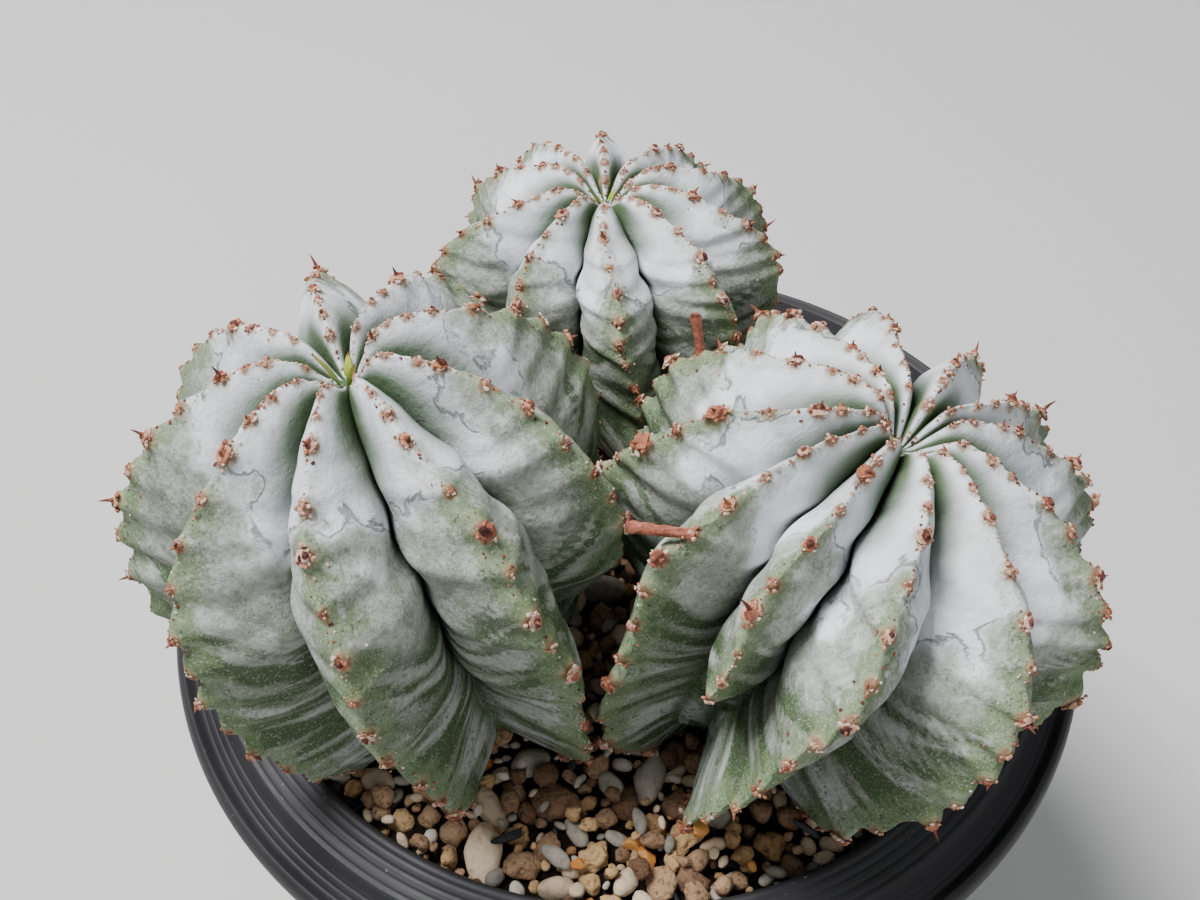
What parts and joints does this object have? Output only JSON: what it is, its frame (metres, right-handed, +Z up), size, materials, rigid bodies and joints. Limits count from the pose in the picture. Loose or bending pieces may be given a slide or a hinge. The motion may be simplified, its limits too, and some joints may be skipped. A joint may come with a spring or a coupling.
{
  "type": "potted african milk barrel",
  "caption": "Ribbed grey-green succulent heads with small thorns, leaning out of gravel in a round black pot with a stepped collar.",
  "frame": {"origin": "middle of the pot's flat underside, on the surface it stands on", "axes": "+Z up along the pot's axis; -Y towards the front, from which the plant is usually seen, with the small head at the back"},
  "size_m": [0.135, 0.135, 0.1688],
  "materials": {
    "skin": "matt waxy plant skin, chalky bluish white over grey green",
    "thorns": "dry reddish brown thorns and scars",
    "soil": "rough dark brown growing mix",
    "gravel": "matt mixed gravel, brown, cream and grey",
    "pot": "matt black moulded plastic with fine turned grooves"
  },
  "bodies": {
    "root": {"head_left": "skin", "head_right": "skin", "head_back": "skin", "soil": "soil", "pot": "pot"}
  },
  "joints": []
}
